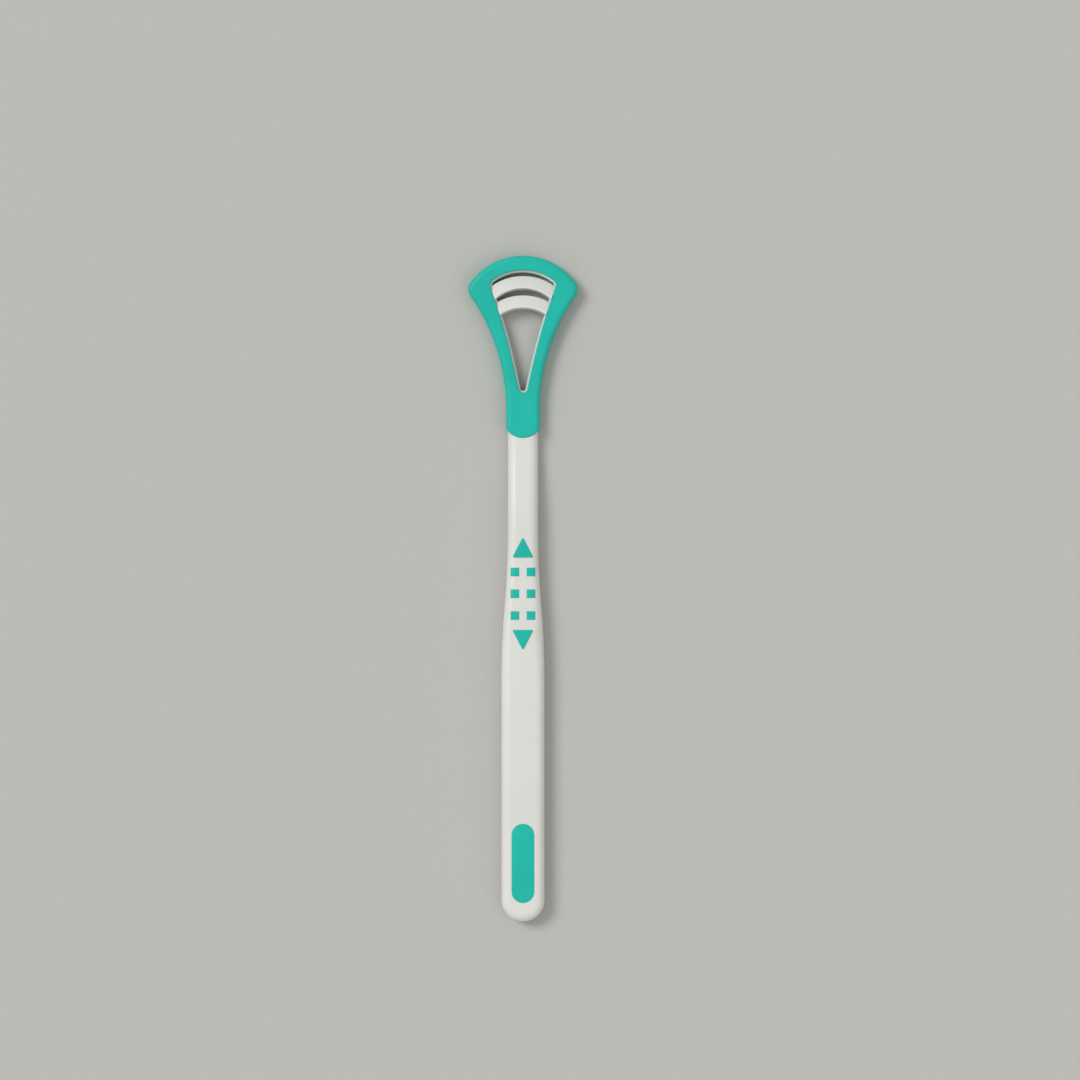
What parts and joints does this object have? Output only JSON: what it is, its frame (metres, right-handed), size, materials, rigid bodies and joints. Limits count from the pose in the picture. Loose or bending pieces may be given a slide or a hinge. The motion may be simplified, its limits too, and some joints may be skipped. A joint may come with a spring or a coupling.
{
  "type": "tongue scraper",
  "caption": "Hand-held tongue scraper: slim rigid handle, fan-shaped loop head in a soft sleeve, arched scraping blades across the loop and soft thumb-grip inlays.",
  "frame": {"origin": "on the surface that the tool lies on, at the middle of its length and of its width", "axes": "+X across the tool, +Y along it towards the head, +Z out of its front"},
  "size_m": [0.028, 0.17, 0.006],
  "materials": {
    "hard_plastic": "satin",
    "soft_grip": "soft matte"
  },
  "bodies": {
    "root": {"handle_core": "hard_plastic", "head_overmould": "soft_grip", "up_arrow_inlay": "soft_grip", "thumb_dash_1_left": "soft_grip", "thumb_dash_1_right": "soft_grip", "thumb_dash_2_left": "soft_grip", "thumb_dash_2_right": "soft_grip", "thumb_dash_3_left": "soft_grip", "thumb_dash_3_right": "soft_grip", "down_arrow_inlay": "soft_grip", "end_pad_inlay": "soft_grip"}
  },
  "joints": []
}
